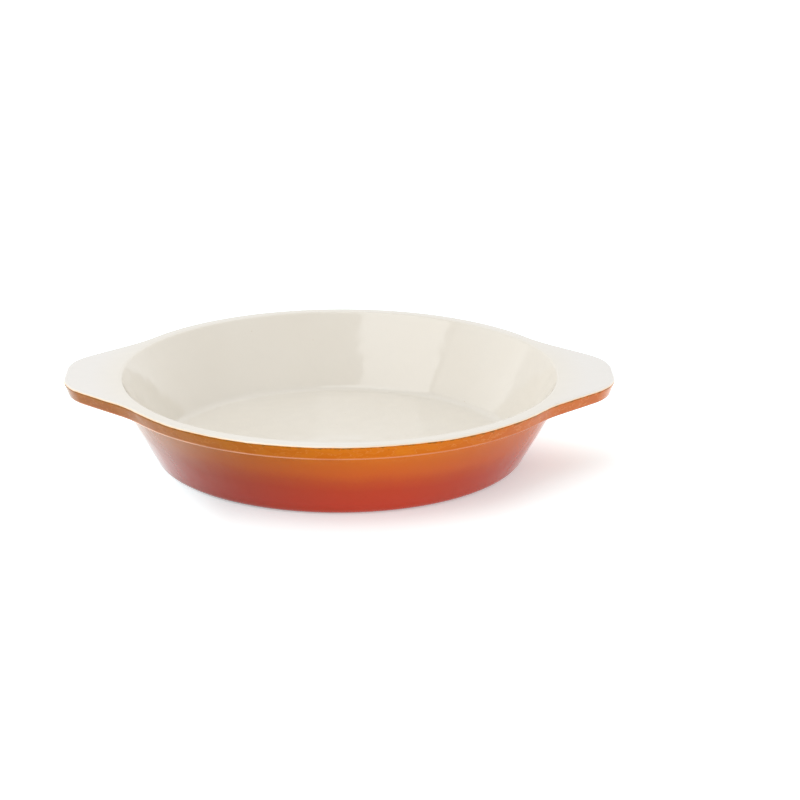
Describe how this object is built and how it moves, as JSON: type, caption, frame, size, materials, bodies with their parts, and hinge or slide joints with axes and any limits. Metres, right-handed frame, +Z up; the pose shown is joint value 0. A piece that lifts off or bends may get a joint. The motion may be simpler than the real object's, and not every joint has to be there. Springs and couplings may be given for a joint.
{
  "type": "gratin dish",
  "caption": "Round enamelled cast iron gratin dish with flat tab lugs, cream inside and orange fading to red outside, for baking and serving at the table.",
  "frame": {"origin": "centre of the foot ring's resting plane, under the middle of the round bowl", "axes": "+X through the two lugs, +Z up out of the bowl, +Y away from the side that the picture sees"},
  "size_m": [0.2006, 0.1692, 0.031],
  "materials": {
    "grey_iron": "as cast, blasted before enamelling",
    "ground_enamel": "dark satin ground coat of vitreous enamel",
    "cream_enamel": "glossy cream vitreous enamel",
    "orange_enamel": "glossy orange vitreous enamel with a slight orange-peel surface",
    "red_enamel": "glossy red vitreous enamel, sprayed to fade into the orange above it"
  },
  "bodies": {
    "root": {"iron_casting": "grey_iron", "ground_coat": "ground_enamel", "cream_enamel": "cream_enamel", "orange_enamel": "orange_enamel", "red_enamel": "red_enamel"}
  },
  "joints": []
}
